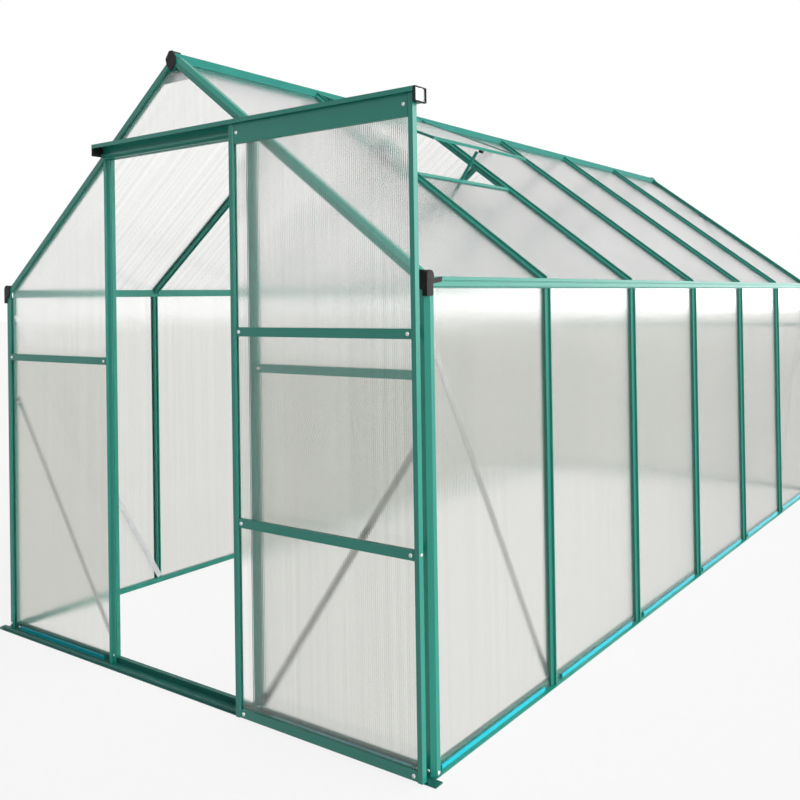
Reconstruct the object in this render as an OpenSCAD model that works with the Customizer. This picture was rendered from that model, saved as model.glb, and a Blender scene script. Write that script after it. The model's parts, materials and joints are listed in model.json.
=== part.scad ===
// Hobby greenhouse: powder-coated aluminium frame, twin-wall sheet glazing,
// six bays long, with a sliding door in the front gable and one roof vent.
// Right of the door is +X, the back gable is towards +Y, the ground is z = 0.

/* [House] */
// Width over the outer faces of the corner posts
house_w = 1900; // [1500:10:2600]
// Length of one glazing bay along the side wall
bay = 610; // [450:5:800]
// Number of bays along the side wall
bays = 6; // [3:1:7]
// Height of the eaves, where wall and roof surfaces meet
eave_h = 1205; // [1000:5:1600]
// Height of the ridge
ridge_h = 1904; // [1700:2:2500]

/* [Glazing bars] */
// Thickness of the twin-wall sheet
sheet_t = 4; // [3:0.5:8]
// Clearance between a sheet and the bar that holds it
glazing_gap = 0.3; // [0.2:0.05:0.6]
// How deep a sheet sits in a groove
bite = 7; // [5:0.5:9]
// Width of a glazing bar's outer flange
flange_w = 25; // [22:0.5:34]
// Thickness of the flange at its edge
flange_edge = 3; // [2:0.25:4]
// Height of the flange where it meets the fin
flange_crown = 7.5; // [5:0.25:10]
// Thickness of the bar's web and fin
web_t = 4; // [3:0.25:5]
// How far fins and corner posts stand out from the sheets
fin_h = 15; // [11:0.5:20]
// How far the bars reach inwards from the sheets
bar_in = 18; // [15:0.5:24]
// Width of the bolt channel on the inner side
channel_w = 16; // [14:0.5:20]
// Width of the slot in the bolt channel
slot_w = 8; // [6:0.5:9]
// Chamfer on the corner posts and gable rafters
post_chamfer = 11; // [6:0.5:12]
// How far back from the tips of the gable bars' fins the posts' front is
post_set = 8; // [0:0.5:9]
// How far a gable rafter reaches inwards from the roof sheets
rafter_in = 12; // [12:0.5:18]

/* [Rails] */
// Height of the base rail
base_h = 20; // [16:1:30]
// Height of the base rail's sill under the sheets
sill_t = 4; // [3:0.5:6]
// How far a side base rail reaches past the corner posts
ground_flange = 2; // [0:1:50]
// Thickness of a base rail's outer edge
ground_flange_t = 2; // [1.5:0.25:4]
// How far a gable base rail reaches past the tips of the bars' fins
gable_flange = 20; // [18:1:60]
// How far the ends of a gable base rail reach past the corner posts
rail_ear = 25; // [16:1:50]
// Height of the eave rail
eave_rail_h = 29; // [26:1:40]
// Half the width of the ridge beam
ridge_half = 16; // [13:0.5:24]
// Depth of the ridge beam
ridge_depth = 57; // [56:1:80]
// Height of the middle of the gable's cross rails
mid_rail_z = 967; // [850:1:1080]
// Height of a cross rail's face
rail_face = 23; // [18:0.5:32]
// Height of a turquoise glazing strip
strip_h = 10.5; // [8:0.5:14]
// Thickness of a glazing strip
strip_t = 5.5; // [4:0.5:7]
// How far a side wall's glazing strip stops short of the bay's ends
strip_short = 52; // [36:1:80]
// How far a gable's glazing strip stops short of the bars beside it
gable_strip_short = 40; // [10:1:60]

/* [Door] */
// Distance of each door jamb from the middle of the gable
jamb_x = 335; // [280:1:360]
// Width of the sliding door
door_w = 648; // [600:1:700]
// Left edge of the door when it is fully open
door_x = 300; // [290:1:330]
// Depth of the door, front to back
door_d = 16; // [14:0.5:26]
// Width of a door stile
stile_w = 17; // [14:0.5:28]
// Distance from the frame's front face to the back of the door
door_back = 20; // [20:0.5:32]
// Height of the door's bottom edge
door_foot = 9; // [8:0.5:14]
// Height of the plate along the top of the door
door_plate_h = 57; // [50:1:90]
// Height of the door's other cross rails
door_rail_h = 25; // [20:0.5:36]
// Height of the middle of the upper cross rail of the door
door_rail_high = 1069; // [900:1:1150]
// Height of the middle of the lower cross rail of the door
door_rail_low = 543; // [400:1:700]
// Height of the door track's face
track_h = 34; // [32:0.5:46]
// Diameter of a door roller
roller_d = 20; // [18:1:22]

/* [Roof vent] */
// Distance down the roof from the ridge to the vent's sill
vent_u = 550; // [450:1:700]
// Angle that the vent stands open
vent_open = 14; // [8:1:24]
// Which bay the vent is in, counted from the front
vent_bay = 2; // [2:1:2]

/* [Fittings] */
// Thickness of the black plastic end caps
cap_t = 4; // [3:0.5:6]
// Width of a diagonal brace
brace_w = 20; // [14:1:30]
// Thickness of a diagonal brace
brace_t = 2; // [1.5:0.25:4]
// Depth of the black tray over the end of the door track
tray_d = 8; // [5:1:12]
// Height of a gable brace's upper end
brace_top = 820; // [700:5:940]
// Height of a side wall brace's upper end
side_brace_top = 1115; // [900:5:1120]
// Height of a brace's lower end
brace_foot = 26; // [24:1:140]
// How far below the ridge the gusset plates at the gables' tips reach
gusset_drop = 83; // [70:1:130]
// Thickness of a gusset plate
gusset_t = 2; // [1.5:0.25:4]

/* [Hidden] */
house_l = bay * bays;
half_w = house_w / 2;
slope = atan((ridge_h - eave_h) / half_w);
wall_x = half_w - fin_h;
bar_depth = fin_h + bar_in;
inner_x = half_w - bar_depth;
corner_face = fin_h + rafter_in;
post_edge = half_w - corner_face;
in_top = -sheet_t - glazing_gap;
track_front = door_back + door_d + 8;
back_edge = house_l + gable_flange;
mid_y = (back_edge - track_front) / 2;
eave_top = eave_h + 2;
eave_soffit = eave_top - eave_rail_h;
jamb_top = apex(-rafter_in) - (jamb_x + flange_w / 2) * tan(slope);
cross_top = jamb_top + rail_face + 2;
track_z = jamb_top + 6;
track_t = 4;
ledge_z = track_z + track_t;
track_top = track_z + track_h;
door_top = track_top - 10;
door_front = -door_back - door_d;
sheet_y = door_front + 7;
roller_z = ledge_z + glazing_gap + roller_d / 2;
guide_y = -door_back + 5;
guide_t = 2;
guide_top = ground_flange_t + 10;
sash_l = vent_u - 8;
far = 4 * house_w;

frame_colour = "#2e6e5c";
sheet_colour = "#e6e6e2";
cap_colour = "#171515";
strip_colour = "#28e6f0";
brace_colour = "#a9acab";

// Height on the gable's middle line of the roof surface at depth d,
// where d = 0 is the sheets' outer face and d = fin_h is the tips of the fins
function apex(d) = ridge_h + (d - fin_h) / cos(slope);

// Height of that surface at the distance x from the middle
function roof_z(x, d) = apex(d) - x * tan(slope);

// Distance down the roof at which that surface is x from the middle
function roof_u(x, d) = (x + (fin_h - d) * sin(slope)) / cos(slope);

// Section of a glazing bar: [across, outwards] from the sheets' outer face
bar_outline = [
    [web_t / 2, glazing_gap], [flange_w / 2, glazing_gap], [flange_w / 2, flange_edge],
    [web_t / 2, flange_crown], [web_t / 2, fin_h], [-web_t / 2, fin_h],
    [-web_t / 2, flange_crown], [-flange_w / 2, flange_edge], [-flange_w / 2, glazing_gap],
    [-web_t / 2, glazing_gap], [-web_t / 2, in_top], [-channel_w / 2, in_top],
    [-channel_w / 2, -bar_in], [-slot_w / 2, -bar_in], [-slot_w / 2, in_top - 6],
    [slot_w / 2, in_top - 6], [slot_w / 2, -bar_in], [channel_w / 2, -bar_in],
    [channel_w / 2, in_top], [web_t / 2, in_top]
];

// The part of that section outside the sheets
bar_outside = [for (p = bar_outline) if (p[1] > 0) p];

// Section of a corner post or gable rafter: [in from its outer side, back];
// its inner part reaches in as far as depth
function corner_outline(depth) = [
    [post_chamfer, post_set], [corner_face, post_set], [corner_face, fin_h - glazing_gap],
    [corner_face - bite - 1, fin_h - glazing_gap],
    [corner_face - bite - 1, fin_h + sheet_t + glazing_gap],
    [depth, fin_h + sheet_t + glazing_gap], [depth, bar_depth],
    [fin_h + sheet_t + glazing_gap, bar_depth], [fin_h + sheet_t + glazing_gap, bar_depth - bite - 1],
    [fin_h - glazing_gap, bar_depth - bite - 1], [fin_h - glazing_gap, bar_depth],
    [0, bar_depth], [0, post_set + post_chamfer]
];

// Section of a base rail: [outwards from the sheets' outer face, up]. The sheet
// stands on the sill, between the upright behind it and the strip in front
sill_edge = strip_t + 2;
function base_outline(flange) = [
    [-bar_in, 0], [flange + fin_h, 0], [flange + fin_h, ground_flange_t],
    [sill_edge, sill_t], [in_top, sill_t], [in_top, base_h], [-bar_in, base_h]
];

// Section of a rail with a groove along its top and its bottom: [outwards, up]
function rail_outline(front, back, h) = [
    [-back, -h / 2], [in_top, -h / 2], [in_top, -h / 2 + bite + 1],
    [glazing_gap, -h / 2 + bite + 1], [glazing_gap, -h / 2], [front, -h / 2],
    [front, h / 2], [glazing_gap, h / 2], [glazing_gap, h / 2 - bite - 1],
    [in_top, h / 2 - bite - 1], [in_top, h / 2], [-back, h / 2]
];

// Puts the frame's own coordinates, front face at y = 0, about the origin
module placed() {
    translate([0, -mid_y, 0]) children();
}

module left_of_middle() {
    mirror([1, 0, 0]) children();
}

// Turns a piece of the front gable into the same piece of the back gable
module at_back() {
    translate([0, house_l, 0]) mirror([0, 1, 0]) children();
}

// Local x runs down the right-hand slope, y along the house, z outwards
// from the sheets' outer face
module on_roof() {
    translate([0, 0, ridge_h]) rotate([0, slope, 0]) translate([0, 0, -fin_h]) children();
}

// A section drawn as [y, z], run along +x
module run_x(length) {
    rotate([90, 0, 90]) linear_extrude(length) children();
}

// A section drawn as [x, z], run along +y
module run_y(length) {
    translate([0, length, 0]) rotate([90, 0, 0]) linear_extrude(length) children();
}

// Everything under the roof surface at depth d, both slopes, from y0 to y1
module under_roof(d, y0, y1) {
    translate([0, y0, 0]) run_y(y1 - y0)
        polygon([[-half_w, 0], [half_w, 0], [half_w, roof_z(half_w, d)],
                 [0, apex(d)], [-half_w, roof_z(half_w, d)]]);
}

// ---- base rails ----

module base_rail_right() {
    color(frame_colour) placed() translate([wall_x, bar_depth, 0])
        run_y(house_l - 2 * bar_depth) polygon(base_outline(ground_flange));
}

module base_rail_left() {
    left_of_middle() base_rail_right();
}

// A gable's base rail runs on, without its upright, under the corner posts
module gable_rail() {
    edge = half_w + ground_flange;
    end = half_w + rail_ear;
    toe = [[-gable_flange, 0], [-gable_flange, ground_flange_t], [fin_h - sill_edge, sill_t]];
    translate([-inner_x, fin_h, 0]) run_x(2 * inner_x)
        polygon([for (p = base_outline(gable_flange)) [-p[0], p[1]]]);
    translate([-edge, 0, 0]) run_x(2 * edge)
        polygon(concat(toe, [[bar_depth, sill_t], [bar_depth, 0]]));
    translate([-end, 0, 0]) run_x(2 * end)
        polygon(concat(toe, [[fin_h - sill_edge, 0]]));
}

module base_rail_front() {
    color(frame_colour) placed() union() {
        gable_rail();
        translate([-half_w, guide_y, ground_flange_t])
            cube([house_w, guide_t, guide_top - ground_flange_t]);
    }
}

module base_rail_back() {
    color(frame_colour) placed() at_back() gable_rail();
}

// ---- upright bars ----

module corner_post() {
    translate([half_w, 0, sill_t]) mirror([1, 0, 0]) linear_extrude(eave_soffit - sill_t)
        polygon(corner_outline(bar_depth));
}

module corner_posts_right() {
    color(frame_colour) placed() union() {
        corner_post();
        at_back() corner_post();
    }
}

module corner_posts_left() {
    left_of_middle() corner_posts_right();
}

// A glazing bar that stands on the base rail: on its sill outside the sheets,
// on its upright inside
module upright_bar(top) {
    union() {
        translate([0, 0, base_h]) linear_extrude(top - base_h) polygon(bar_outline);
        translate([0, 0, sill_t]) linear_extrude(base_h - sill_t) polygon(bar_outside);
    }
}

module side_studs_right() {
    color(frame_colour) placed()
        for (k = [1 : bays - 1])
            translate([wall_x, k * bay, 0]) rotate([0, 0, -90]) upright_bar(eave_soffit);
}

module side_studs_left() {
    left_of_middle() side_studs_right();
}

module gable_upright(x, top) {
    translate([x, fin_h, 0]) rotate([0, 0, 180]) upright_bar(top);
}

module door_jamb_right() {
    color(frame_colour) placed() gable_upright(jamb_x, jamb_top);
}

module door_jamb_left() {
    left_of_middle() door_jamb_right();
}

module back_gable_studs() {
    color(frame_colour) placed() at_back()
        for (x = [-jamb_x, jamb_x]) gable_upright(x, jamb_top);
}

// ---- eaves and ridge ----

// A section drawn as [x, z], run from the front of one gable to the other's
module between_gables() {
    translate([0, post_set, 0]) run_y(house_l - 2 * post_set) children();
}

module eave_rail_right() {
    groove_top = eave_soffit + bite + 1;
    lip_x = half_w - 3;
    bead = eave_top - 11;
    color(frame_colour) placed() between_gables()
        polygon([
            [inner_x, eave_soffit], [wall_x + in_top, eave_soffit],
            [wall_x + in_top, groove_top], [wall_x + glazing_gap, groove_top],
            [wall_x + glazing_gap, eave_soffit], [half_w - 4, eave_soffit],
            [half_w - 4, eave_soffit + 2], [half_w, eave_soffit + 4],
            [half_w, bead - 2], [half_w - 2, bead - 1], [half_w - 2, bead + 1], [half_w, bead + 2],
            [half_w, eave_top - 1], [half_w - 1, eave_top], [lip_x, eave_top],
            [lip_x, roof_z(lip_x, in_top)], [inner_x, roof_z(inner_x, in_top)]
        ]);
}

module eave_rail_left() {
    left_of_middle() eave_rail_right();
}

ridge_pocket = ridge_half - bite - 1;

// The right-hand side of the ridge beam's section, from top to bottom
ridge_side = [
    [ridge_half - 6, ridge_h - 2], [ridge_half, ridge_h - 6],
    [ridge_half, roof_z(ridge_half, glazing_gap)], [ridge_pocket, roof_z(ridge_pocket, glazing_gap)],
    [ridge_pocket, roof_z(ridge_pocket, in_top)], [ridge_half, roof_z(ridge_half, in_top)],
    [ridge_half, ridge_h - ridge_depth]
];

module ridge_beam() {
    color(frame_colour) placed() between_gables()
        polygon(concat([[0, ridge_h]], ridge_side,
                       [for (i = [len(ridge_side) - 1 : -1 : 0])
                           [-ridge_side[i][0], ridge_side[i][1]]]));
}

// ---- roof bars ----

// Keeps a roof bar between the ridge beam and the eave rail: its inner part
// ends on the eave rail's inner face, its outer part runs on over the rail
module between_ridge_and_eave(y) {
    difference() {
        children();
        translate([-far, y - far / 2, 0]) cube([far + ridge_half, far, 2 * ridge_h]);
        translate([inner_x, y - far / 2, 0]) intersection() {
            cube([far, far, 2 * ridge_h]);
            translate([-inner_x, 0, 0]) under_roof(in_top, 0, far);
        }
    }
}

module roof_bar(k) {
    foot = (half_w - 10) / cos(slope);
    between_ridge_and_eave(k * bay) on_roof()
        translate([0, k * bay, 0]) run_x(foot) polygon(bar_outline);
}

module roof_bars_left() {
    color(frame_colour) placed() left_of_middle()
        for (k = [1 : bays - 1]) roof_bar(k);
}

module roof_bar_right_first() {
    color(frame_colour) placed() roof_bar(vent_bay - 1);
}

module roof_bars_right() {
    color(frame_colour) placed()
        for (k = [vent_bay : bays - 1]) roof_bar(k);
}

module gable_rafter() {
    foot = (half_w - 3) / cos(slope);
    between_ridge_and_eave(0) on_roof() run_x(foot)
        polygon([for (p = corner_outline(corner_face)) [p[1], fin_h - p[0]]]);
}

module gable_rafter_front_right() {
    color(frame_colour) placed() gable_rafter();
}

module gable_rafter_front_left() {
    left_of_middle() gable_rafter_front_right();
}

module gable_rafters_back() {
    color(frame_colour) placed() at_back() union() {
        gable_rafter();
        left_of_middle() gable_rafter();
    }
}

// ---- gable rails ----

module gable_cross_rail() {
    intersection() {
        translate([-half_w, fin_h, jamb_top]) run_x(house_w)
            translate([0, (cross_top - jamb_top) / 2])
                polygon([for (p = rail_outline(fin_h, bar_in, cross_top - jamb_top)) [-p[0], p[1]]]);
        under_roof(-rafter_in, -1, bar_depth + 1);
    }
}

module cross_rail_front() {
    color(frame_colour) placed() gable_cross_rail();
}

module cross_rail_back() {
    color(frame_colour) placed() at_back() gable_cross_rail();
}

module mid_rail(x0, x1) {
    translate([x0, fin_h, mid_rail_z]) run_x(x1 - x0)
        polygon([for (p = rail_outline(flange_crown, bar_in - 6, rail_face)) [-p[0], p[1]]]);
}

// From a door jamb to the corner post, whose front reaches in less far than
// its inner part
module side_mid_rail() {
    mid_rail(jamb_x + flange_w / 2, inner_x);
    translate([inner_x, fin_h - flange_crown, mid_rail_z - rail_face / 2])
        cube([post_edge - inner_x, flange_crown - glazing_gap, rail_face]);
}

module mid_rail_front_right() {
    color(frame_colour) placed() union() side_mid_rail();
}

module mid_rail_front_left() {
    left_of_middle() mid_rail_front_right();
}

module mid_rails_back() {
    color(frame_colour) placed() at_back() union() {
        side_mid_rail();
        left_of_middle() side_mid_rail();
        mid_rail(-jamb_x + flange_w / 2, jamb_x - flange_w / 2);
    }
}

// ---- diagonal braces ----

// A flat bar between two points of a gable, on the inner side of its bars
module gable_brace() {
    top = [inner_x, brace_top];
    foot = [jamb_x, brace_foot];
    run = top - foot;
    translate([foot[0], bar_depth, foot[1]]) rotate([0, -atan2(run[1], run[0]), 0])
        translate([0, 0, -brace_w / 2]) cube([norm(run), brace_t, brace_w]);
}

module brace_front_right() {
    color(frame_colour) placed() gable_brace();
}

module brace_front_left() {
    left_of_middle() brace_front_right();
}

module braces_back() {
    color(frame_colour) placed() at_back() union() {
        gable_brace();
        left_of_middle() gable_brace();
    }
}

module side_brace() {
    top_y = bar_depth - 3;
    run = [bay - top_y, side_brace_top - brace_foot];
    translate([inner_x - brace_t, bay, brace_foot]) rotate([atan2(run[0], run[1]), 0, 0])
        translate([0, -brace_w / 2, 0]) cube([brace_t, brace_w, norm(run)]);
}

module braces_right() {
    color(frame_colour) placed() union() {
        side_brace();
        at_back() side_brace();
    }
}

module braces_left() {
    left_of_middle() braces_right();
}

// ---- gusset plates ----

// Ties a gable's two rafters together behind the tip of its top sheet,
// notched for the ridge beam and clear of the roof sheets
module gable_gusset() {
    low = ridge_h - gusset_drop;
    high = ridge_h - ridge_depth + 5;
    notch = ridge_half + glazing_gap;
    side = apex(in_top - 0.5);
    outline = [
        [(side - low) / tan(slope), low], [(side - high) / tan(slope), high],
        [notch, high], [notch, ridge_h - ridge_depth - glazing_gap]
    ];
    translate([0, bar_depth, 0]) run_y(gusset_t)
        polygon(concat(outline, [for (i = [len(outline) - 1 : -1 : 0])
                                    [-outline[i][0], outline[i][1]]]));
}

module gable_gussets() {
    color(brace_colour) placed() union() {
        gable_gusset();
        at_back() gable_gusset();
    }
}

// ---- door track ----

track_left = -door_w / 2 - 5;
track_right = door_x + door_w + 7;
track_back = 6.5;

// Section of the door track: [y, z]. Its deep back stands for the real one's
// hollow box; the door's rollers run on the ledge, behind a low lip
module door_track() {
    color(frame_colour) placed() translate([track_left, 0, 0])
        run_x(track_right - track_left)
            polygon([
                [0, track_z], [-15, track_z], [-15, ledge_z + 2], [-13.5, ledge_z + 2],
                [-13.5, ledge_z], [-track_back, ledge_z], [-track_back, track_top - track_t],
                [-track_front + 2.5, track_top - track_t], [-track_front + 2.5, track_top - 12],
                [-track_front, track_top - 12], [-track_front, track_top], [0, track_top]
            ]);
}

// A plate over the left end of the track and a tray over its right end
module track_end_caps() {
    low = track_z - 2;
    color(cap_colour) placed() union() {
        translate([track_left - cap_t, -track_front, low])
            cube([cap_t, track_front, track_top - low]);
        translate([track_right, -track_front, low]) difference() {
            cube([tray_d, track_front, track_top - low]);
            translate([3, 2.5, 2.5]) cube([tray_d, track_front - 5, track_top - low - 5]);
        }
    }
}

// ---- black end caps ----

module eave_cap() {
    arm = [3, 64, 14];
    tab_h = 30;
    arm_z = eave_top - arm[2] - 4;
    translate([0, post_set, 0]) union() {
        translate([0, -cap_t, 0]) run_y(cap_t)
            polygon([
                [half_w - 30, eave_h - 14], [half_w - 20, eave_h - 30], [half_w + 3, eave_h - 30],
                [half_w + 3, eave_h + 8], [half_w - 8, eave_h + 18], [half_w - 24, eave_h + 16],
                [half_w - 30, eave_h + 6]
            ]);
        translate([half_w, -cap_t, arm_z]) cube([arm[0], arm[1], arm[2]]);
        translate([half_w, -cap_t, arm_z - tab_h]) cube([arm[0], 28, tab_h]);
        translate([half_w - post_chamfer, -cap_t, arm_z - tab_h]) cube([post_chamfer, cap_t, tab_h]);
    }
}

module eave_corner_caps() {
    color(cap_colour) placed() union() {
        eave_cap();
        left_of_middle() eave_cap();
        at_back() eave_cap();
        at_back() left_of_middle() eave_cap();
    }
}

module ridge_cap() {
    translate([0, post_set, 0]) union() {
        translate([0, -cap_t, 0]) run_y(cap_t)
            polygon([
                [-7, ridge_h + 4], [7, ridge_h + 4], [24, ridge_h - 18], [18, ridge_h - 38],
                [0, ridge_h - 58], [-18, ridge_h - 38], [-24, ridge_h - 18]
            ]);
        run_y(26)
            polygon([
                [0, ridge_h], [ridge_half - 6, ridge_h - 2], [ridge_half - 6, ridge_h + 2],
                [0, ridge_h + 4], [-ridge_half + 6, ridge_h + 2], [-ridge_half + 6, ridge_h - 2]
            ]);
    }
}

module ridge_end_caps() {
    color(cap_colour) placed() union() {
        ridge_cap();
        at_back() ridge_cap();
    }
}

// ---- turquoise strips along the foot of the glazing ----

module side_strips() {
    for (k = [0 : bays - 1])
        translate([wall_x + glazing_gap, k * bay + strip_short, sill_t])
            cube([strip_t, bay - 2 * strip_short, strip_h]);
}

module gable_strip(x0, x1) {
    translate([x0 + gable_strip_short, fin_h - glazing_gap - strip_t, sill_t])
        cube([x1 - x0 - 2 * gable_strip_short, strip_t, strip_h]);
}

module base_glazing_strips() {
    color(strip_colour) placed() union() {
        side_strips();
        left_of_middle() side_strips();
        gable_strip(jamb_x + flange_w / 2, inner_x);
        gable_strip(-inner_x, -jamb_x - flange_w / 2);
        at_back() union() {
            gable_strip(jamb_x + flange_w / 2, inner_x);
            gable_strip(-jamb_x + flange_w / 2, jamb_x - flange_w / 2);
            gable_strip(-inner_x, -jamb_x - flange_w / 2);
        }
    }
}

// ---- wall and roof sheets ----

// Where the sheet of bay k starts and ends: in the end bays it reaches
// into the groove of the corner post or gable rafter
function sheet_from(k) = k == 0 ? bar_depth - bite : k * bay + web_t / 2 + glazing_gap;
function sheet_to(k) = k == bays - 1 ? house_l - bar_depth + bite
                                     : (k + 1) * bay - web_t / 2 - glazing_gap;

module wall_sheets_right() {
    foot = sill_t + glazing_gap;
    color(sheet_colour) placed()
        for (k = [0 : bays - 1])
            translate([wall_x - sheet_t, sheet_from(k), foot])
                cube([sheet_t, sheet_to(k) - sheet_from(k), eave_soffit + bite - foot]);
}

module wall_sheets_left() {
    left_of_middle() wall_sheets_right();
}

sheet_head = roof_u(ridge_half - bite, -sheet_t);
sheet_foot = roof_u(half_w - 3.5, 0);

module roof_sheet(k, head) {
    on_roof() translate([head, sheet_from(k), -sheet_t])
        cube([sheet_foot - head, sheet_to(k) - sheet_from(k), sheet_t]);
}

module roof_sheets_left() {
    color(sheet_colour) placed() left_of_middle()
        for (k = [0 : bays - 1]) roof_sheet(k, sheet_head);
}

module roof_sheet_right_first() {
    color(sheet_colour) placed() roof_sheet(vent_bay - 2, sheet_head);
}

module roof_sheets_right() {
    color(sheet_colour) placed()
        for (k = [vent_bay : bays - 1]) roof_sheet(k, sheet_head);
}

module roof_sheet_below_vent() {
    color(sheet_colour) placed() roof_sheet(vent_bay - 1, vent_u + 1 + glazing_gap);
}

// ---- gable sheets ----

module gable_sheet(x0, x1, z0, z1) {
    intersection() {
        translate([x0, fin_h, z0]) cube([x1 - x0, sheet_t, z1 - z0]);
        under_roof(-rafter_in + bite, 0, bar_depth);
    }
}

gable_foot = sill_t + glazing_gap;
mid_low = mid_rail_z - rail_face / 2 + bite;
mid_high = mid_rail_z + rail_face / 2 - bite;

module gable_side_sheets() {
    x0 = jamb_x + web_t / 2 + glazing_gap;
    gable_sheet(x0, post_edge + bite, gable_foot, mid_low);
    union() {
        gable_sheet(x0, post_edge + bite, mid_high, eave_soffit - glazing_gap);
        gable_sheet(x0, inner_x - glazing_gap, mid_high, jamb_top - glazing_gap);
    }
}

module gable_sheets_front_right() {
    color(sheet_colour) placed() gable_side_sheets();
}

module gable_sheets_front_left() {
    left_of_middle() gable_sheets_front_right();
}

module gable_top_sheet() {
    beside_ridge = ridge_half + glazing_gap;
    difference() {
        gable_sheet(-half_w, half_w, cross_top - bite, ridge_h);
        translate([-beside_ridge, 0, ridge_h - ridge_depth - glazing_gap])
            cube([2 * beside_ridge, bar_depth, ridge_depth]);
    }
}

module gable_sheet_front_top() {
    color(sheet_colour) placed() gable_top_sheet();
}

module gable_sheets_back() {
    x0 = jamb_x - web_t / 2 - glazing_gap;
    color(sheet_colour) placed() at_back() union() {
        gable_side_sheets();
        left_of_middle() gable_side_sheets();
        gable_sheet(-x0, x0, gable_foot, mid_low);
        gable_sheet(-x0, x0, mid_high, jamb_top + bite);
        gable_top_sheet();
    }
}

// ---- roof vent ----

sash_w = bay - flange_w - 2;
sash_y = (vent_bay - 1) * bay + flange_w / 2 + 1;
stay_y = (vent_bay - 0.5) * bay;
stay_t = 3;
sash_under = 3;
knob_h = 10;

// The sill carries a small lug that the casement stay rests against
module vent_sill() {
    y0 = (vent_bay - 1) * bay + flange_w / 2;
    color(frame_colour) placed() on_roof() translate([vent_u, 0, 0]) union() {
        translate([0, y0 + bay - flange_w, 0]) rotate([90, 0, 0]) linear_extrude(bay - flange_w)
            polygon([
                [-8, -8], [8, -8], [8, in_top], [0, in_top], [0, glazing_gap],
                [8, glazing_gap], [8, 4], [-4, 6], [-8, 6]
            ]);
        translate([-26, stay_y + stay_t / 2, -6]) cube([18, 4, 12]);
    }
}

// The sash hangs on the side of the ridge beam and stands open
module in_sash() {
    hinge = roof_u(ridge_half, 5);
    on_roof() translate([hinge, sash_y, 5])
        rotate([0, -vent_open, 0]) children();
}

module vent_sash_rails() {
    color(frame_colour) placed() difference() {
        in_sash() union() {
            translate([-12, sash_w, 0]) rotate([90, 0, 0]) linear_extrude(sash_w)
                polygon([[0, -3], [28, -3], [28, -glazing_gap], [20, -glazing_gap],
                         [20, sheet_t + glazing_gap], [28, sheet_t + glazing_gap], [28, 7], [0, 7]]);
            translate([sash_l - 16, sash_w, 0]) rotate([90, 0, 0]) linear_extrude(sash_w)
                polygon([[0, -sash_under], [16, -sash_under], [16, 7], [0, 7],
                         [0, sheet_t + glazing_gap], [8, sheet_t + glazing_gap],
                         [8, -glazing_gap], [0, -glazing_gap]]);
            sash_side();
            translate([0, sash_w, 0]) mirror([0, 1, 0]) sash_side();
        }
        translate([-far, 0, 0]) cube([far + ridge_half, far, 2 * ridge_h]);
    }
}

// Channel along one side of the sash, from the head rail to the bottom rail
module sash_side() {
    translate([15, 0, 0]) run_x(sash_l - 30)
        polygon([[0, -2.5], [7, -2.5], [7, -glazing_gap], [2, -glazing_gap],
                 [2, sheet_t + glazing_gap], [7, sheet_t + glazing_gap], [7, 6.5], [0, 6.5]]);
}

module vent_sheet() {
    color(sheet_colour) placed() in_sash()
        translate([8 + glazing_gap, 2 + glazing_gap, 0])
            cube([sash_l - 16 - 2 * glazing_gap, sash_w - 4 - 2 * glazing_gap, sheet_t]);
}

// Flat casement stay under the middle of the sash's bottom rail: it reaches
// down past the lug on the sill, with its holed tail hanging inside
module vent_stay() {
    tail = 62;
    color(frame_colour) placed() difference() {
        on_roof() translate([vent_u - 24, stay_y - stay_t / 2, -tail])
            cube([12, stay_t, sash_l * sin(vent_open) + tail]);
        in_sash() translate([0, 0, -sash_under - knob_h]) cube([2 * sash_l, sash_w, sash_l]);
    }
}

// Black block under the sash's bottom rail, which the stay hangs from
module vent_knob() {
    color(cap_colour) placed() in_sash()
        translate([sash_l - 15, stay_y - sash_y, -sash_under - knob_h])
            linear_extrude(knob_h)
                polygon([[0, -5], [3, -8], [11, -8], [14, -5], [14, 5], [11, 8], [3, 8], [0, 5]]);
}

// ---- sliding door ----

door_inner = door_x + stile_w;
door_outer = door_x + door_w - stile_w;

// Section of a door stile: [x from its inner edge towards the outside, y]
module door_stile() {
    linear_extrude(door_top - door_foot)
        polygon([
            [0, door_front + 4], [3, door_front], [stile_w, door_front], [stile_w, -door_back],
            [0, -door_back], [0, sheet_y + sheet_t + glazing_gap],
            [bite + 1, sheet_y + sheet_t + glazing_gap], [bite + 1, sheet_y - glazing_gap],
            [0, sheet_y - glazing_gap]
        ]);
}

module door_stiles() {
    color(frame_colour) placed() union() {
        translate([door_outer, 0, door_foot]) door_stile();
        translate([door_inner, 0, door_foot]) mirror([1, 0, 0]) door_stile();
    }
}

// Section of a door rail: [y, z], grooved for the sheets above and below
function door_rail_outline(z0, z1, over, under) = concat(
    [[door_front + 3, z0]],
    under ? [[sheet_y - glazing_gap, z0], [sheet_y - glazing_gap, z0 + bite + 1],
             [sheet_y + sheet_t + glazing_gap, z0 + bite + 1],
             [sheet_y + sheet_t + glazing_gap, z0]] : [],
    [[-door_back, z0], [-door_back, z1]],
    over ? [[sheet_y + sheet_t + glazing_gap, z1], [sheet_y + sheet_t + glazing_gap, z1 - bite - 1],
            [sheet_y - glazing_gap, z1 - bite - 1], [sheet_y - glazing_gap, z1]] : [],
    [[door_front + 3, z1]]
);

module door_rail(z0, z1, over, under) {
    translate([door_inner, 0, 0]) run_x(door_outer - door_inner)
        polygon(door_rail_outline(z0, z1, over, under));
}

module door_top_rail() {
    color(frame_colour) placed() door_rail(door_top - door_plate_h, door_top, false, true);
}

module door_cross_rails() {
    color(frame_colour) placed() union() {
        for (z = [door_rail_low, door_rail_high])
            door_rail(z - door_rail_h / 2, z + door_rail_h / 2, true, true);
        door_rail(door_foot, door_foot + door_rail_h, true, false);
    }
}

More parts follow.
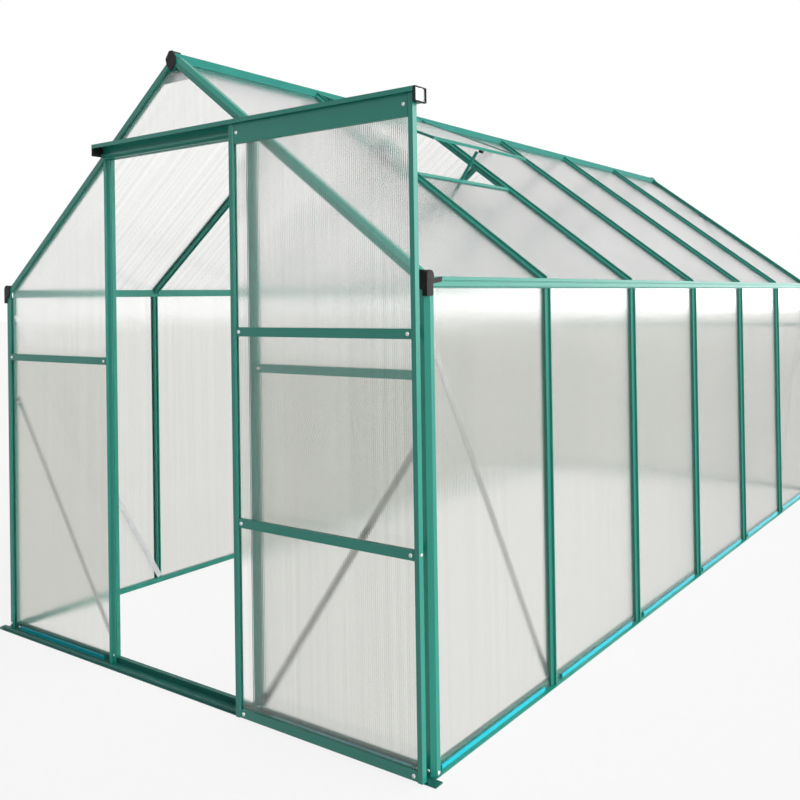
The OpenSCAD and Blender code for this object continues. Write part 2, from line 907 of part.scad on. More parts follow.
// Bottom and top edges of the door's three sheets
door_sheet_z = [
    [door_foot + door_rail_h - bite, door_rail_low - door_rail_h / 2 + bite],
    [door_rail_low + door_rail_h / 2 - bite, door_rail_high - door_rail_h / 2 + bite],
    [door_rail_high + door_rail_h / 2 - bite, door_top - door_plate_h + bite]
];

module door_sheets() {
    color(sheet_colour) placed()
        for (z = door_sheet_z)
            translate([door_inner - bite, sheet_y, z[0]])
                cube([door_outer - door_inner + 2 * bite, sheet_t, z[1] - z[0]]);
}

// Each roller turns on a pin in the door's top plate and runs on the track's ledge
module door_rollers() {
    color(cap_colour) placed()
        for (x = [door_x + 50, door_x + door_w - 50])
            translate([x, -door_back, roller_z]) rotate([-90, 0, 0]) union() {
                cylinder(d = 7, h = door_back - track_back - 1, $fn = 48);
                translate([0, 0, door_back - track_back - 6]) cylinder(d = roller_d, h = 5, $fn = 96);
            }
}

// Plastic shoes behind the bottom rail, straddling the upstand of the base rail
module door_guides() {
    play = 2;
    wall = 3;
    foot = ground_flange_t + 6;
    inside = guide_top + play + 1;
    back = wall + 2 * play + guide_t;
    color(cap_colour) placed()
        for (x = [door_x + 30, door_x + door_w - 70])
            translate([x, -door_back, 0]) run_x(40)
                polygon([
                    [0, foot], [wall, foot], [wall, inside], [back, inside], [back, foot],
                    [back + wall, foot], [back + wall, inside + wall], [wall, inside + wall],
                    [wall, inside + 15], [0, inside + 15]
                ]);
}

base_rail_front();
base_rail_back();
base_rail_left();
base_rail_right();
corner_posts_left();
corner_posts_right();
side_studs_left();
side_studs_right();
eave_rail_left();
eave_rail_right();
ridge_beam();
gable_rafter_front_left();
gable_rafter_front_right();
gable_rafters_back();
roof_bars_left();
roof_bar_right_first();
roof_bars_right();
door_jamb_left();
door_jamb_right();
back_gable_studs();
cross_rail_front();
cross_rail_back();
mid_rail_front_left();
mid_rail_front_right();
mid_rails_back();
door_track();
brace_front_left();
brace_front_right();
braces_back();
braces_left();
braces_right();
gable_gussets();
vent_sill();
vent_sash_rails();
vent_sheet();
vent_stay();
vent_knob();
track_end_caps();
eave_corner_caps();
ridge_end_caps();
base_glazing_strips();
wall_sheets_left();
wall_sheets_right();
roof_sheets_left();
roof_sheet_right_first();
roof_sheet_below_vent();
roof_sheets_right();
gable_sheets_front_left();
gable_sheets_front_right();
gable_sheet_front_top();
gable_sheets_back();
door_stiles();
door_top_rail();
door_cross_rails();
door_sheets();
door_rollers();
door_guides();
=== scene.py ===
# A hobby greenhouse: green powder-coated aluminium bars, twin-wall sheets between
# them, a sliding door in the front gable and one roof vent standing open.
# All sizes are in metres. The front gable faces -Y, +X is to its right, and the
# ground is at z = 0.
import json
import math
import bpy
import bmesh
from mathutils import Matrix, Vector


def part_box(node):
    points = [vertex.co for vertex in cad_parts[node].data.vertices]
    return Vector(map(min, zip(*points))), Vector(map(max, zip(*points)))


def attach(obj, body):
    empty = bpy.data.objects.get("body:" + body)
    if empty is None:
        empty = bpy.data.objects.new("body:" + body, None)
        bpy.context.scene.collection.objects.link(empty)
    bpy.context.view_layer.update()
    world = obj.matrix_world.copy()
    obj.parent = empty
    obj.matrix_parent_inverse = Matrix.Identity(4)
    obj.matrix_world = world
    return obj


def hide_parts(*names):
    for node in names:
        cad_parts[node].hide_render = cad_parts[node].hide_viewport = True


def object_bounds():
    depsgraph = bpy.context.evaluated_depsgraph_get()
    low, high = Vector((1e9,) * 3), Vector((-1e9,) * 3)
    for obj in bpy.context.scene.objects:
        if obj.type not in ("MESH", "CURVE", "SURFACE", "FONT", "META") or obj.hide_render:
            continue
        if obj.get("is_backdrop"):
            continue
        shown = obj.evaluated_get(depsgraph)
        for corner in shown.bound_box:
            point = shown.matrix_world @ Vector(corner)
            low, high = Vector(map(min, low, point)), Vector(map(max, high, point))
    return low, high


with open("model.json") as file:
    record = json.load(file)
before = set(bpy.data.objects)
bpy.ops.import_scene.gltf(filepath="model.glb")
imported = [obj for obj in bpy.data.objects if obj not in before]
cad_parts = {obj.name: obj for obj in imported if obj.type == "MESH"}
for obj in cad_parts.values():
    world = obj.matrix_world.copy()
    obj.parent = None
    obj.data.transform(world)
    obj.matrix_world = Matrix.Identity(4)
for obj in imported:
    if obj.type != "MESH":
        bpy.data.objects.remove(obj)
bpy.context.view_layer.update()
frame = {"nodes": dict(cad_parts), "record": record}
nodes = frame["nodes"]


# ---- The studio ----
# A plain white floor and a plain white surround, a broad lamp on the right, another
# low behind the long side, and the even light of the room. The camera stands at
# chest height off the right-hand corner and looks level across the front gable.

scene = bpy.context.scene
scene.view_settings.view_transform = "Standard"

eye = Vector((2.2411, -3.5022, 1.1522))
turn, tilt, lean = -0.5864, 0.0074, -0.0155
ahead = Vector((math.sin(turn) * math.cos(tilt), math.cos(turn) * math.cos(tilt), math.sin(tilt)))
side = ahead.cross(Vector((0, 0, 1))).normalized()
up = side.cross(ahead)
level = math.cos(lean) * side + math.sin(lean) * up
plumb = math.cos(lean) * up - math.sin(lean) * side

camera = bpy.data.objects.new("camera", bpy.data.cameras.new("camera"))
scene.collection.objects.link(camera)
camera.matrix_world = Matrix((
    (level.x, plumb.x, -ahead.x, eye.x),
    (level.y, plumb.y, -ahead.y, eye.y),
    (level.z, plumb.z, -ahead.z, eye.z),
    (0, 0, 0, 1),
))
camera.data.sensor_width = 36
camera.data.lens = 39.80
camera.data.shift_x = -0.1063
camera.data.shift_y = -0.1359
camera.data.clip_end = 200
scene.camera = camera


def seen_directly(tree):
    """1 where a ray comes from the camera, a glossy surface or clear plastic, else 0."""
    rays = tree.nodes.new("ShaderNodeLightPath")
    either = tree.nodes.new("ShaderNodeMath")
    either.operation = "MAXIMUM"
    tree.links.new(rays.outputs["Is Camera Ray"], either.inputs[0])
    tree.links.new(rays.outputs["Is Glossy Ray"], either.inputs[1])
    any_of = tree.nodes.new("ShaderNodeMath")
    any_of.operation = "MAXIMUM"
    tree.links.new(either.outputs[0], any_of.inputs[0])
    tree.links.new(rays.outputs["Is Transmission Ray"], any_of.inputs[1])
    return any_of.outputs[0]


room = bpy.data.worlds.new("room")
scene.world = room
room.use_nodes = True
tree = room.node_tree
tree.nodes.clear()
room_light = tree.nodes.new("ShaderNodeBackground")
room_light.inputs["Color"].default_value = (0.95, 0.98, 1.0, 1)
room_light.inputs["Strength"].default_value = 0.2
white_wall = tree.nodes.new("ShaderNodeBackground")
white_wall.inputs["Color"].default_value = (1, 1, 1, 1)
white_wall.inputs["Strength"].default_value = 1.0
choose = tree.nodes.new("ShaderNodeMixShader")
out = tree.nodes.new("ShaderNodeOutputWorld")
tree.links.new(seen_directly(tree), choose.inputs[0])
tree.links.new(room_light.outputs[0], choose.inputs[1])
tree.links.new(white_wall.outputs[0], choose.inputs[2])
tree.links.new(choose.outputs[0], out.inputs[0])


def soft_lamp(name, towards, strength, width):
    """A very distant round lamp: towards it, its strength, and how wide it looks."""
    lamp = bpy.data.objects.new(name, bpy.data.lights.new(name, "SUN"))
    lamp.data.energy = strength
    lamp.data.angle = math.radians(width)
    lamp.rotation_euler = Vector(towards).to_track_quat("Z", "Y").to_euler()
    scene.collection.objects.link(lamp)


soft_lamp("key_lamp", (0.93, -0.06, 0.36), 2.5, 55)
soft_lamp("sheen_lamp", (0.55, 0.81, 0.16), 2.7, 60)

floor_reach, floor_top = 60, -0.001
floor_mesh = bpy.data.meshes.new("floor")
floor_mesh.from_pydata(
    [(x * floor_reach, y * floor_reach, floor_top)
     for x, y in ((-1, -1), (1, -1), (1, 1), (-1, 1))],
    [], [(0, 1, 2, 3)])
floor = bpy.data.objects.new("floor", floor_mesh)
scene.collection.objects.link(floor)
floor_paint = bpy.data.materials.new("white_floor")
floor_paint.use_nodes = True
tree = floor_paint.node_tree
tree.nodes.clear()
matt = tree.nodes.new("ShaderNodeBsdfDiffuse")
matt.inputs["Color"].default_value = (0.8, 0.8, 0.8, 1)
glow = tree.nodes.new("ShaderNodeEmission")
glow.inputs["Color"].default_value = (1, 1, 1, 1)
glow.inputs["Strength"].default_value = 1.0
glow_share = 0.86  # the rest is matt, and keeps the greenhouse's shadow
share = tree.nodes.new("ShaderNodeMath")
share.operation = "MULTIPLY"
share.inputs[1].default_value = glow_share
choose = tree.nodes.new("ShaderNodeMixShader")
out = tree.nodes.new("ShaderNodeOutputMaterial")
tree.links.new(seen_directly(tree), share.inputs[0])
tree.links.new(share.outputs[0], choose.inputs[0])
tree.links.new(matt.outputs[0], choose.inputs[1])
tree.links.new(glow.outputs[0], choose.inputs[2])
tree.links.new(choose.outputs[0], out.inputs[0])
floor_mesh.materials.append(floor_paint)
floor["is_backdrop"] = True


# ---- The green frame ----
# Every bar, rail, post and rafter, the door's own frame and its track are extruded
# aluminium, sawn to length, powder-coated a satin sea green and bolted together.
# The baked coat has a faint peel and pools a little unevenly.

def plain_finish(name, colour, rough):
    """A new material with one Principled shader: returns it, its node tree and the shader."""
    material = bpy.data.materials.new(name)
    material.use_nodes = True
    tree = material.node_tree
    shader = tree.nodes["Principled BSDF"]
    shader.inputs["Base Color"].default_value = (*colour, 1)
    shader.inputs["Roughness"].default_value = rough
    return material, tree, shader


def own_coordinates(tree):
    """Places in metres on the piece itself, for the grain of its finish."""
    return tree.nodes.new("ShaderNodeTexCoord").outputs["Object"]


def noise(tree, where, scale, detail=2.0):
    """A cloudy number from 0 to 1, with about scale clouds to the metre."""
    grain = tree.nodes.new("ShaderNodeTexNoise")
    grain.inputs["Scale"].default_value = scale
    grain.inputs["Detail"].default_value = detail
    tree.links.new(where, grain.inputs["Vector"])
    return grain.outputs["Fac"]


def between(tree, factor, low, high):
    """A number that runs from low to high as factor runs from 0 to 1."""
    spread = tree.nodes.new("ShaderNodeMapRange")
    spread.inputs["To Min"].default_value = low
    spread.inputs["To Max"].default_value = high
    tree.links.new(factor, spread.inputs["Value"])
    return spread.outputs["Result"]


def shades(tree, factor, first, second):
    """A colour between two shades of a finish."""
    blend = tree.nodes.new("ShaderNodeMix")
    blend.data_type = "RGBA"
    blend.inputs["A"].default_value = (*first, 1)
    blend.inputs["B"].default_value = (*second, 1)
    tree.links.new(factor, blend.inputs["Factor"])
    return blend.outputs["Result"]


def relief(tree, shader, height, depth, strength):
    """Lets height stand up to depth proud of the surface, as fine texture."""
    bump = tree.nodes.new("ShaderNodeBump")
    bump.inputs["Distance"].default_value = depth
    bump.inputs["Strength"].default_value = strength
    tree.links.new(height, bump.inputs["Height"])
    tree.links.new(bump.outputs["Normal"], shader.inputs["Normal"])


green_coat, tree, shader = plain_finish("green_powder_coat", (0.012, 0.262, 0.198), 0.4)
where = own_coordinates(tree)
tree.links.new(shades(tree, noise(tree, where, 5.0), (0.009, 0.242, 0.182), (0.015, 0.282, 0.214)),
               shader.inputs["Base Color"])
tree.links.new(between(tree, noise(tree, where, 60.0), 0.28, 0.40), shader.inputs["Roughness"])
relief(tree, shader, noise(tree, where, 700.0), 0.0004, 0.35)


def paint(names, material):
    """Gives the finish to the frame's pieces with these names."""
    for name in names:
        for slot in nodes[name].material_slots:
            slot.material = material


# A rougher, less shiny copy of the green for the ridge. Its darker colour is painted shade that
# tones down the lamp's glare there.
shaded_ridge_coat, tree, shader = plain_finish("green_powder_coat_shaded_ridge",
                                            (0.020, 0.220, 0.180), 0.6)
where = own_coordinates(tree)
tree.links.new(shades(tree, noise(tree, where, 12.0), (0.016, 0.195, 0.160), (0.026, 0.245, 0.200)),
               shader.inputs["Base Color"])
tree.links.new(between(tree, noise(tree, where, 50.0), 0.52, 0.7), shader.inputs["Roughness"])
shader.inputs["Specular IOR Level"].default_value = 0.12
relief(tree, shader, noise(tree, where, 650.0), 0.0004, 0.35)

# A darker copy of the green for the front base rail: painted shade, where the rail lies low in the
# shaded front.
front_rail_shade_coat, tree, shader = plain_finish("green_powder_coat_front_rail_shade", (0.008, 0.15, 0.125), 0.45)
where = own_coordinates(tree)
tree.links.new(shades(tree, noise(tree, where, 9.0), (0.006, 0.125, 0.104), (0.012, 0.185, 0.150)),
               shader.inputs["Base Color"])
tree.links.new(between(tree, noise(tree, where, 40.0), 0.4, 0.58), shader.inputs["Roughness"])
relief(tree, shader, noise(tree, where, 600.0), 0.0004, 0.4)

paint([part["node"] for part in frame["record"]["subparts"]
       if part["material_slot"] == "frame_green"], green_coat)
paint(["base_rail_front"], front_rail_shade_coat)  # a darker copy of the green: painted shade on the rail, low in the shaded front
paint(["ridge_beam"], shaded_ridge_coat)  # its darker colour is painted shade, toning down the lamp's glare on it


# ---- The twin-wall sheets ----
# Extruded polycarbonate, two thin skins with ribs between them. The flutes run
# upright in the walls and the door, and from ridge to eave in the roof. Each sheet
# is slid into the bars' grooves. Below the eaves it is painted greyer: painted shade,
# standing in for the shaded inside of the house and its plants seen through it.

flute = 0.0065                      # from one rib to the next
half_rib = 0.35                     # half the ribs' swing, measured as the streaks are
streaks_per_metre, change_per_metre = 55.0, 0.7  # across the flutes, and up them
fade_height, fade_waver = 0.09, 0.06             # of the edge of the darker tone, which is painted shade
skin_roughness, skin_relief = 0.11, 0.0012
light_bend, light_through = 1.45, 0.98


def twin_wall(name, across, tone, low_tone, low_edge, ribbing, ridging, streaks):
    """Sheet whose flutes lie side by side along the axis called across. Its tone is
    low_tone up to the height low_edge. ribbing is how strongly the ribs show, ridging
    how strongly they bend what is seen through the sheet, and streaks how much they
    differ from one to the next."""
    material, tree, shader = plain_finish(name, tone, skin_roughness)
    where = own_coordinates(tree)
    apart = tree.nodes.new("ShaderNodeSeparateXYZ")
    tree.links.new(where, apart.inputs[0])
    along = apart.outputs[across]

    # the ribs, as an even wave
    turns = tree.nodes.new("ShaderNodeMath")
    turns.operation = "MULTIPLY"
    turns.inputs[1].default_value = 2 * math.pi / flute
    tree.links.new(along, turns.inputs[0])
    wave = tree.nodes.new("ShaderNodeMath")
    wave.operation = "SINE"
    tree.links.new(turns.outputs[0], wave.inputs[0])
    ribs = tree.nodes.new("ShaderNodeMath")
    ribs.operation = "MULTIPLY_ADD"
    ribs.inputs[1].default_value = half_rib
    ribs.inputs[2].default_value = half_rib
    tree.links.new(wave.outputs[0], ribs.inputs[0])

    # the streaks, drawn out along the flutes and added to the ribs
    stretch = tree.nodes.new("ShaderNodeMapping")
    stretch.inputs["Scale"].default_value = {
        "X": (streaks_per_metre, 0.0, change_per_metre),
        "Y": (0.0, streaks_per_metre, change_per_metre)}[across]
    tree.links.new(where, stretch.inputs["Vector"])
    both = tree.nodes.new("ShaderNodeMath")
    both.operation = "MULTIPLY_ADD"
    both.inputs[1].default_value = streaks
    tree.links.new(noise(tree, stretch.outputs["Vector"], 1.0, 3.0), both.inputs[0])
    tree.links.new(ribs.outputs[0], both.inputs[2])

    # how far up the darker tone of painted shade reaches: its edge is soft and wavers a little
    cloud = tree.nodes.new("ShaderNodeMath")
    cloud.operation = "MULTIPLY_ADD"
    cloud.inputs[1].default_value = fade_waver
    tree.links.new(noise(tree, where, 3.0), cloud.inputs[0])
    tree.links.new(apart.outputs["Z"], cloud.inputs[2])
    fade = tree.nodes.new("ShaderNodeMapRange")
    fade.interpolation_type = "SMOOTHSTEP"
    fade.inputs["From Min"].default_value = low_edge
    fade.inputs["From Max"].default_value = low_edge + fade_height
    tree.links.new(cloud.outputs[0], fade.inputs["Value"])

    # the tones, darker on the ribs
    darker = 1.0 - ribbing
    high = shades(tree, both.outputs[0], [darker * c for c in tone], tone)
    low = shades(tree, both.outputs[0], [darker * c for c in low_tone], low_tone)
    mix = tree.nodes.new("ShaderNodeMix")
    mix.data_type = "RGBA"
    tree.links.new(fade.outputs["Result"], mix.inputs["Factor"])
    tree.links.new(low, mix.inputs["A"])
    tree.links.new(high, mix.inputs["B"])
    tree.links.new(mix.outputs["Result"], shader.inputs["Base Color"])
    relief(tree, shader, both.outputs[0], skin_relief, ridging)
    shader.inputs["IOR"].default_value = light_bend
    shader.inputs["Transmission Weight"].default_value = light_through
    return material


# The lower tone is painted shade: it darkens the sheets below the eaves to stand in for the shaded
# inside of the house and its plants seen through them.
clear, shaded_inside = (1.0, 1.0, 0.995), (0.83, 0.835, 0.80)
# The side walls' upper tone is a little darker than the gables': painted shade that tones down the
# low lamp's reflection at the tops of the walls.
paint(["wall_sheets_left", "wall_sheets_right"],
      twin_wall("twin_wall_sides", "Y", (0.95, 0.955, 0.94), shaded_inside, low_edge=1.06,
                ribbing=0.14, ridging=0.11, streaks=0.7))
paint(["gable_sheets_front_left", "gable_sheets_front_right", "gable_sheet_front_top",
       "gable_sheets_back"],
      twin_wall("twin_wall_gables", "X", clear, shaded_inside, low_edge=0.97,
                ribbing=0.16, ridging=0.12, streaks=0.9))
paint(["door_sheets"],
      twin_wall("twin_wall_door", "X", clear, (0.97, 0.975, 0.96), low_edge=1.0,
                ribbing=0.22, ridging=0.12, streaks=1.0))
paint(["roof_sheet_right_first", "roof_sheet_below_vent", "roof_sheets_right", "vent_sheet"],
      twin_wall("twin_wall_roof", "Y", clear, shaded_inside, low_edge=1.0,
                ribbing=0.09, ridging=0.12, streaks=0.3))
paint(["roof_sheets_left"],  # this slope's sheets are the most unevenly drawn
      twin_wall("twin_wall_streaked", "Y", (1.0, 1.0, 0.985), shaded_inside, low_edge=1.0,
                ribbing=0.50, ridging=0.12, streaks=1.2))


# ---- Black plastic ----
# End caps of the ridge and the track, the door's rollers and guide shoes, and the
# knob of the vent: injection-moulded black plastic with a fine spark texture,
# pushed on or screwed to the bars.

black_plastic, tree, shader = plain_finish("moulded_black_plastic", (0.012, 0.011, 0.011), 0.6)
where = own_coordinates(tree)
tree.links.new(shades(tree, noise(tree, where, 40.0), (0.010, 0.009, 0.009), (0.020, 0.018, 0.018)),
               shader.inputs["Base Color"])
shader.inputs["Specular IOR Level"].default_value = 0.25
tree.links.new(between(tree, noise(tree, where, 90.0), 0.5, 0.68), shader.inputs["Roughness"])
relief(tree, shader, noise(tree, where, 1100.0), 0.0003, 0.4)
paint(["track_end_caps", "eave_corner_caps", "ridge_end_caps", "door_rollers",
       "door_guides", "vent_knob"], black_plastic)


# ---- Eave corner caps ----
# A moulded cap of the same plastic closes each corner where post, rafter and eave
# rail meet: a plate over the end with a tab down the post, a round boss, and an
# arm that clips along the eave rail. It is pressed on and held by its own spring.

def slab(work, outline, thick, place):
    """Adds a plate with the outline given as (first, second), from 0 to thick along
    the third axis; place turns (first, second, third) into a point."""
    near = [work.verts.new(place(a, b, 0)) for a, b in outline]
    far = [work.verts.new(place(a, b, thick)) for a, b in outline]
    work.faces.new(near)
    work.faces.new(far[::-1])
    for k in range(len(outline)):
        after = (k + 1) % len(outline)
        work.faces.new((near[after], near[k], far[k], far[after]))


def as_piece(work, name, body, material, smooth=35):
    """The finished mesh as a named piece that moves with body."""
    bmesh.ops.recalc_face_normals(work, faces=work.faces)
    mesh = bpy.data.meshes.new(name)
    work.to_mesh(mesh)
    work.free()
    mesh.materials.append(material)
    for face in mesh.polygons:
        face.use_smooth = True
    mesh.set_sharp_from_angle(angle=math.radians(smooth))
    piece = bpy.data.objects.new(name, mesh)
    scene.collection.objects.link(piece)
    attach(piece, body)
    return piece


caps_low, caps_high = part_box("eave_corner_caps")
middle_y = (caps_low[1] + caps_high[1]) / 2
half_length = (caps_high[1] - caps_low[1]) / 2
plate_thick, arm_thick, boss_deep = 0.004, 0.0026, 0.026
boss_radius, boss_height = 0.0145, 0.049
plate_set, arm_set, plate_step = 0.0012, 0.0004, 0.0006  # so no two faces lie in one plane
plate_line = [(0.033, 0.032), (0.024, 0.018), (0.014, 0.014), (0.014, 0.0), (0.0, 0.0),
              (0.0, 0.052), (0.003, 0.058), (0.009, 0.0625), (0.017, 0.064), (0.026, 0.062),
              (0.0315, 0.058), (0.033, 0.052)]
side_line = [(0.0, 0.0), (0.022, 0.0), (0.026, 0.004), (0.026, 0.030), (0.060, 0.0345),
             (0.064, 0.0475), (0.030, 0.0435), (0.0, 0.0435)]
boss_line = [(boss_radius + boss_radius * math.cos(math.radians(t)),
              boss_height + boss_radius * math.sin(math.radians(t))) for t in range(0, 360, 12)]
work = bmesh.new()
for side_sign in (-1, 1):
    for end_sign in (-1, 1):
        def corner(w, z, d, side_sign=side_sign, end_sign=end_sign):
            """w in from the cap's outer side, z up from its foot, d back from its front."""
            return Vector((side_sign * (caps_high[0] - w),
                           middle_y + end_sign * (half_length - d), caps_low[2] + z))

        slab(work, plate_line, plate_thick, lambda w, z, d: corner(w + plate_set, z, d))
        slab(work, side_line, arm_thick, lambda d, z, w: corner(w + arm_set, z, d + plate_step))
        slab(work, boss_line, boss_deep, lambda d, z, w: corner(w, z, d + plate_step))
bmesh.ops.recalc_face_normals(work, faces=work.faces)
sharp = [edge for edge in work.edges
         if len(edge.link_faces) == 2 and edge.calc_face_angle() > 0.6]
bmesh.ops.bevel(work, geom=sharp, offset=0.0007, segments=2, affect="EDGES",
                clamp_overlap=True)
eave_caps = as_piece(work, "eave_caps", "house", black_plastic, smooth=40)
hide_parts("eave_corner_caps")


# ---- Turquoise strips ----
# Springy plastic strips that wedge each bottom sheet against the base rail. They
# are extruded in glossy turquoise plastic and snapped in by hand, a little short
# of the bars at each end.

turquoise, tree, shader = plain_finish("turquoise_plastic", (0.0, 0.52, 0.64), 0.3)
where = own_coordinates(tree)
tree.links.new(shades(tree, noise(tree, where, 8.0), (0.0, 0.46, 0.57), (0.002, 0.58, 0.70)),
               shader.inputs["Base Color"])
relief(tree, shader, noise(tree, where, 400.0), 0.0002, 0.3)
paint(["base_glazing_strips"], turquoise)


# ---- Diagonal braces ----
# Flat bars of bare aluminium bolted from corner to corner behind the end panels,
# and the gusset plates at the tops of the gables. They are cut from strip and
# keep the mill finish.

mill_finish, tree, shader = plain_finish("mill_finish_aluminium", (0.62, 0.63, 0.64), 0.4)
where = own_coordinates(tree)
shader.inputs["Metallic"].default_value = 1.0
tree.links.new(shades(tree, noise(tree, where, 30.0), (0.55, 0.56, 0.57), (0.68, 0.69, 0.70)),
               shader.inputs["Base Color"])
tree.links.new(between(tree, noise(tree, where, 200.0), 0.32, 0.5), shader.inputs["Roughness"])
relief(tree, shader, noise(tree, where, 900.0), 0.0002, 0.3)
paint(["brace_front_left", "brace_front_right", "braces_back", "braces_left", "braces_right",
       "gable_gussets"], mill_finish)


# ---- Screws of the frame ----
# Zinc-plated steel screws with a pan head and a cross pressed into it. They hold
# the posts, jambs and mid rails of the front to each other and to the base rail,
# and are driven in by hand.

zinc, tree, shader = plain_finish("bright_zinc", (0.78, 0.79, 0.80), 0.32)
where = own_coordinates(tree)
shader.inputs["Metallic"].default_value = 1.0
tree.links.new(shades(tree, noise(tree, where, 300.0), (0.70, 0.71, 0.72), (0.86, 0.87, 0.87)),
               shader.inputs["Base Color"])
tree.links.new(between(tree, noise(tree, where, 500.0), 0.22, 0.42), shader.inputs["Roughness"])


def facing(at, out):
    """Moves a part made along +Z at the origin to the point at, turned to face out."""
    return Matrix.Translation(at) @ Vector(out).to_track_quat("Z", "Y").to_matrix().to_4x4()


cross_width = 0.55


def turned(work, place, rings, sides=24, sunk=None):
    """Adds a turned part: rings of (radius, height) up from the base, closed at both
    ends. sunk is (first ring, depth): from that ring inwards a cross is pressed in."""
    loops = []
    for number, (radius, height) in enumerate(rings):
        loop = []
        for k in range(sides):
            angle = 2 * math.pi * k / sides
            drop = 0.0
            if sunk and number >= sunk[0] and abs(math.sin(2 * angle)) < cross_width:
                drop = sunk[1]
            loop.append(work.verts.new(place @ Vector(
                (radius * math.cos(angle), radius * math.sin(angle), height - drop))))
        loops.append(loop)
    for lower, upper in zip(loops, loops[1:]):
        for k in range(sides):
            work.faces.new((lower[k], lower[(k + 1) % sides], upper[(k + 1) % sides], upper[k]))
    work.faces.new(loops[-1])
    work.faces.new(loops[0][::-1])


def pan_head(work, at, out, radius=0.0045):
    """The head of a cross-head screw that shows at the point at."""
    turned(work, facing(at, out), [
        (radius, 0), (radius, 0.3 * radius), (0.92 * radius, 0.48 * radius),
        (0.72 * radius, 0.62 * radius), (0.6 * radius, 0.66 * radius),
        (0.58 * radius, 0.66 * radius), (0.22 * radius, 0.7 * radius)],
        sunk=(5, 0.45 * radius))


front, back, right = (0, -1, 0), (0, 1, 0), (1, 0, 0)
posts = {"left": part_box("corner_posts_left"), "right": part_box("corner_posts_right")}
jambs = {"left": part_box("door_jamb_left"), "right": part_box("door_jamb_right")}
rails = {"left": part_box("mid_rail_front_left"), "right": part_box("mid_rail_front_right")}

foot_in, foot_up = 0.018, 0.018                 # the screw at a post's foot
jamb_end_in, post_end_in = 0.014, 0.012         # those at the ends of a mid rail
flange_in, flange_back, flange_up = 0.005, 0.0096, 0.03  # those in a jamb's flanges
sill_screw_x, sill_screw_up = 0.893, 0.0092     # the one in the base rail
side_back, side_up = 0.016, 0.0105              # the one in a post's outer side
work = bmesh.new()
for hand, sign in (("left", -1), ("right", 1)):
    post_out = max(abs(posts[hand][0][0]), abs(posts[hand][1][0]))
    post_front = posts[hand][0][1]
    rail_low, rail_high = rails[hand]
    rail_middle = (rail_low[2] + rail_high[2]) / 2
    rail_in, rail_out = sorted((abs(rail_low[0]), abs(rail_high[0])))
    pan_head(work, (sign * (post_out - foot_in), post_front, foot_up), front)
    pan_head(work, (sign * (rail_in + jamb_end_in), rail_low[1], rail_middle), front)
    pan_head(work, (sign * (rail_out - post_end_in), rail_low[1], rail_middle), front)
for hand in ("left", "right"):
    for x in (jambs[hand][0][0] + flange_in, jambs[hand][1][0] - flange_in):
        pan_head(work, (x, jambs[hand][0][1] + flange_back, flange_up), front, 0.003)
sheet_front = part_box("gable_sheets_front_left")[0][1]
for sign in (-1, 1):
    pan_head(work, (sign * sill_screw_x, sheet_front, sill_screw_up), front, 0.004)
    pan_head(work, (sign * posts["right"][1][0], posts["right"][0][1] + side_back, side_up),
             (sign, 0, 0), 0.005)
as_piece(work, "frame_screws", "house", zinc)


# ---- The door's screws ----
# The same zinc-plated pan-head screws, one at each end of the door's top plate and
# rails. They are driven from the front, through the rails' ends into the stiles,
# and one more holds the right stile from its side.

plate_low, plate_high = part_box("door_top_rail")
rail_low, rail_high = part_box("door_cross_rails")
stile_low, stile_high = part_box("door_stiles")
half_rail = 0.0125
lower_rail, upper_rail = 0.543, 1.069
left_in, plate_right_in, rail_right_in, plate_down = 0.012, 0.012, 0.010, 0.027
door_head = 0.0052
work = bmesh.new()
for x in (plate_low[0] + left_in, plate_high[0] - plate_right_in):
    pan_head(work, (x, plate_low[1], plate_high[2] - plate_down), front, door_head)
for z in (rail_low[2] + half_rail, lower_rail, upper_rail):
    for x in (rail_low[0] + left_in, rail_high[0] - rail_right_in):
        pan_head(work, (x, rail_low[1], z), front, door_head)
pan_head(work, (stile_high[0], (stile_low[1] + stile_high[1]) / 2, lower_rail + 0.003),
         right, 0.0042)
as_piece(work, "door_screws", "door", zinc)


# ---- Nuts and bolts of the braces ----
# Each brace is held at both ends by a bolt from the bar's channel, with a washer
# and a zinc-plated hexagon nut done up with a spanner.

across_flats = 0.010


def nut(work, at, out):
    """A washer, a chamfered hexagon nut and the bolt's end standing through it."""
    place = facing(at, out)
    turned(work, place, [(0.0065, 0), (0.0065, 0.0008), (0.0035, 0.001), (0.0032, 0.001)])
    corner = across_flats / math.sqrt(3)
    turned(work, place, [(0.96 * corner, 0.001), (corner, 0.0015), (corner, 0.0047),
                         (0.9 * corner, 0.0052), (0.0034, 0.0053)], sides=6)
    turned(work, place, [(0.003, 0.001), (0.003, 0.0078), (0.0024, 0.0084),
                         (0.0008, 0.0084)], sides=16)


end_in, foot_end_up, head_end_down = 0.012, 0.018, 0.022  # from a brace's ends
work = bmesh.new()
for name, sign in (("brace_front_left", -1), ("brace_front_right", 1)):
    low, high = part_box(name)
    inner, outer = sorted((abs(low[0]), abs(high[0])))
    for x, z in ((inner + end_in, low[2] + foot_end_up),
                 (outer - 0.014, high[2] - head_end_down)):
        nut(work, (sign * x, high[1], z), back)
        nut(work, (sign * x, low[1], z), front)
for name, sign in (("braces_left", -1), ("braces_right", 1)):
    low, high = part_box(name)
    inside = min(abs(low[0]), abs(high[0]))
    for y in (low[1] + end_in, high[1] - end_in):
        nut(work, (sign * inside, y, high[2] - head_end_down), (-sign, 0, 0))
as_piece(work, "brace_nuts", "house", zinc)
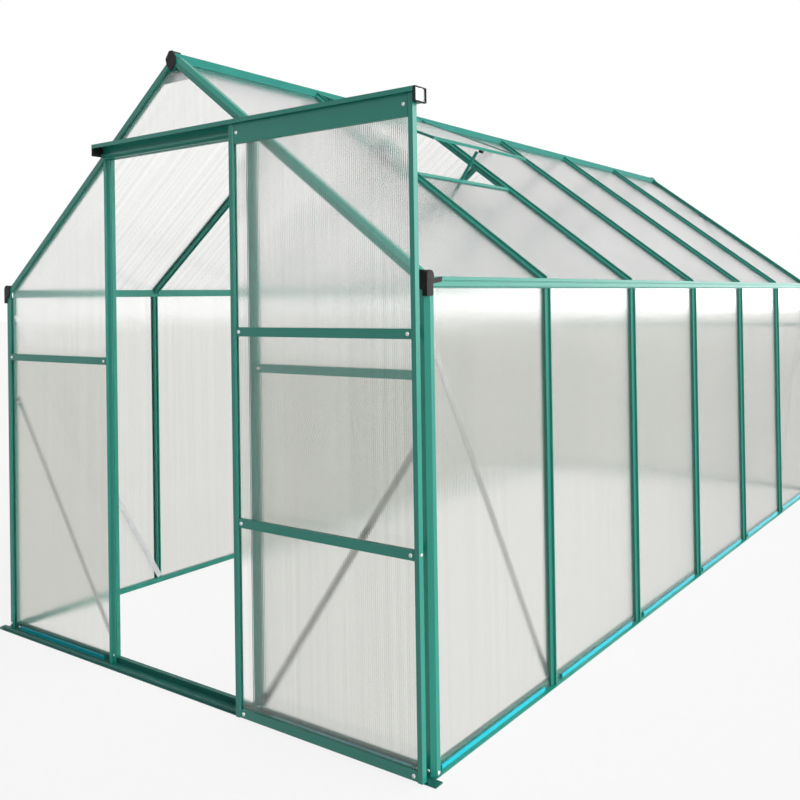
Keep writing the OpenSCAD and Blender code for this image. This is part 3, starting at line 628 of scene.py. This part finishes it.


# ---- Plate in the track's tray ----
# The cap on the right-hand end of the track is a shallow tray. A pale, partly metallic
# plate with two shallow beads sits in it: a painted highlight for the glare on the cap's end face.

# The plate's pale colour is a painted highlight, standing in for the glare on the cap's end face.
glare_plate_finish, tree, shader = plain_finish("pale_plate_painted_glare", (0.72, 0.74, 0.74), 0.38)
where = own_coordinates(tree)
shader.inputs["Metallic"].default_value = 0.35
tree.links.new(shades(tree, noise(tree, where, 60.0), (0.68, 0.70, 0.70), (0.78, 0.80, 0.80)),
               shader.inputs["Base Color"])
tree.links.new(between(tree, noise(tree, where, 140.0), 0.3, 0.46), shader.inputs["Roughness"])

cap_low, cap_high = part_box("track_end_caps")
margin = 0.0026                     # from the tray's rim to the plate's edge
tray_floor = cap_high[0] - 0.0046
plate_under = tray_floor - 0.0006
flat, bead = 0.0018, 0.0026         # how high the plate and its beads stand
profile = [(margin, 0.0), (0.006, flat), (0.012, flat), (0.014, bead), (0.016, flat),
           (0.028, flat), (0.030, bead), (0.032, flat), (0.038, flat),
           (cap_high[1] - cap_low[1] - margin, 0.0)]
work = bmesh.new()
foot, head = cap_low[2] + margin, cap_high[2] - margin
top = [work.verts.new((tray_floor + lift, cap_low[1] + y, head)) for y, lift in profile]
bottom = [work.verts.new((tray_floor + lift, cap_low[1] + y, foot)) for y, lift in profile]
under_top = [work.verts.new((plate_under, cap_low[1] + y, head)) for y, lift in profile]
under_bottom = [work.verts.new((plate_under, cap_low[1] + y, foot)) for y, lift in profile]
for k in range(len(profile) - 1):
    work.faces.new((bottom[k], bottom[k + 1], top[k + 1], top[k]))
    work.faces.new((under_bottom[k + 1], under_bottom[k], under_top[k], under_top[k + 1]))
    work.faces.new((top[k], top[k + 1], under_top[k + 1], under_top[k]))
    work.faces.new((bottom[k + 1], bottom[k], under_bottom[k], under_bottom[k + 1]))
work.faces.new((bottom[0], top[0], under_top[0], under_bottom[0]))
work.faces.new((top[-1], bottom[-1], under_bottom[-1], under_top[-1]))
as_piece(work, "tray_glare_plate", "house", glare_plate_finish, smooth=50)


# The box of everything shown, the floor left out.
low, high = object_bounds()
